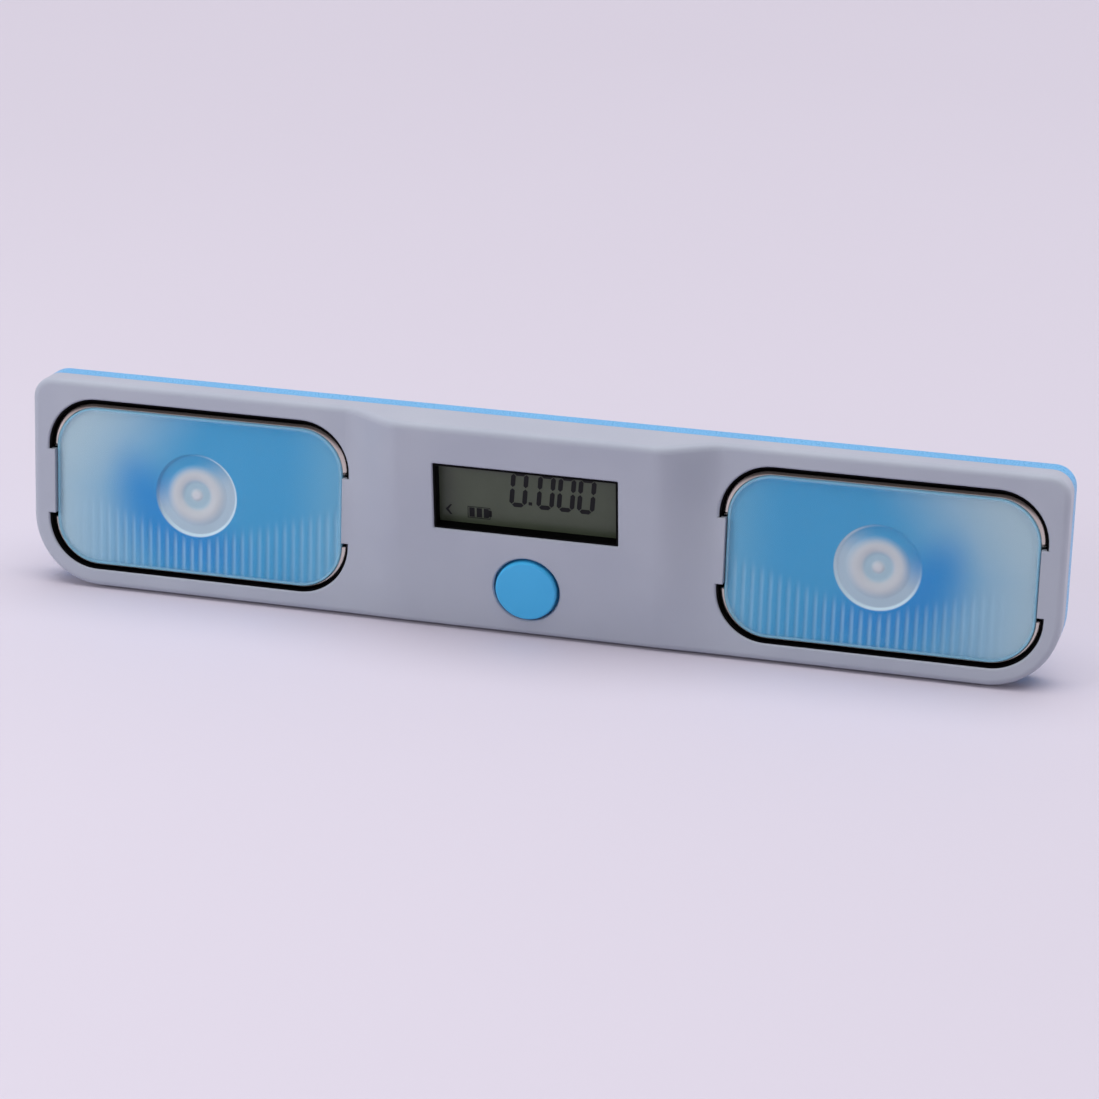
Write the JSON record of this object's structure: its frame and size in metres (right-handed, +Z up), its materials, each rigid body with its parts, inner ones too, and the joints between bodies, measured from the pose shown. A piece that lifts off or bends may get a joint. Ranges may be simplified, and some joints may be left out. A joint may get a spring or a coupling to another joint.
{
  "type": "speed cube timer",
  "caption": "Slim bar timer with a translucent touch pad at each end, a raised leaning middle with a digit display and round push button, and a turn-lock battery cap in its back.",
  "frame": {"origin": "on the floor under the middle of the box that holds the timer, standing on its long lower edge", "axes": "+X along the bar to the right as seen from the front, +Y to the back, +Z up"},
  "size_m": [0.245, 0.021, 0.05],
  "materials": {
    "shell_grey": "satin moulded",
    "shell_blue": "satin moulded",
    "pad_clear": "clear, polished",
    "pad_blue": "translucent, fluted",
    "black_plastic": "matt moulded",
    "bright_trim": "plated",
    "button_blue": "satin moulded",
    "display_glass": "anti-glare",
    "display_back": "matt film",
    "seal_rubber": "matt",
    "foot_rubber": "matt",
    "board_green": "solder mask",
    "chip_black": "matt moulded",
    "socket_ivory": "moulded",
    "cable_grey": "extruded",
    "steel": "zinc plated",
    "cell_steel": "nickel plated",
    "spring_brass": "bright",
    "led_white": "diffused"
  },
  "bodies": {
    "case": {"front_shell": "shell_grey", "back_shell": "shell_blue", "lcd_bezel": "black_plastic", "lcd_glass": "display_glass", "lcd_reflector": "display_back", "zebra_strips": "seal_rubber", "main_board": "board_green", "board_screws": "steel", "controller_chip": "chip_black", "crystal": "steel", "board_components": "chip_black", "buzzer": "chip_black", "switch_body": "chip_black", "coin_cell": "cell_steel", "cell_contact_plus": "spring_brass", "cell_contact_minus": "spring_brass", "main_sockets": "socket_ivory", "sensor_board_screws": "steel", "case_screws": "steel", "rubber_feet": "foot_rubber", "left_pad_lens": "pad_clear", "left_pad_diffuser": "pad_blue", "left_pad_cradle": "black_plastic", "left_upper_trim": "bright_trim", "left_lower_trim": "bright_trim", "left_touch_ring": "spring_brass", "left_pad_led": "led_white", "left_sensor_board": "board_green", "left_sensor_socket": "socket_ivory", "left_sensor_cable": "cable_grey", "right_pad_lens": "pad_clear", "right_pad_diffuser": "pad_blue", "right_pad_cradle": "black_plastic", "right_upper_trim": "bright_trim", "right_lower_trim": "bright_trim", "right_touch_ring": "spring_brass", "right_pad_led": "led_white", "right_sensor_board": "board_green", "right_sensor_socket": "socket_ivory", "right_sensor_cable": "cable_grey"},
    "button": {"power_button": "button_blue", "switch_plunger": "chip_black"},
    "battery_cap": {"battery_cap": "shell_blue"}
  },
  "joints": [
    {"name": "button_press", "type": "slide", "parent": "case", "child": "button", "axis": [0, 0.9862, 0.1657], "range_m": [0, 0.0007], "stiffness_N_per_m": 2000, "springref_m": -0.0004},
    {"name": "battery_cap_turn", "type": "hinge", "parent": "case", "child": "battery_cap", "pos_m": [0, 0.00965, 0.033], "axis": [0, 1, 0], "range_deg": [0, 45]}
  ]
}
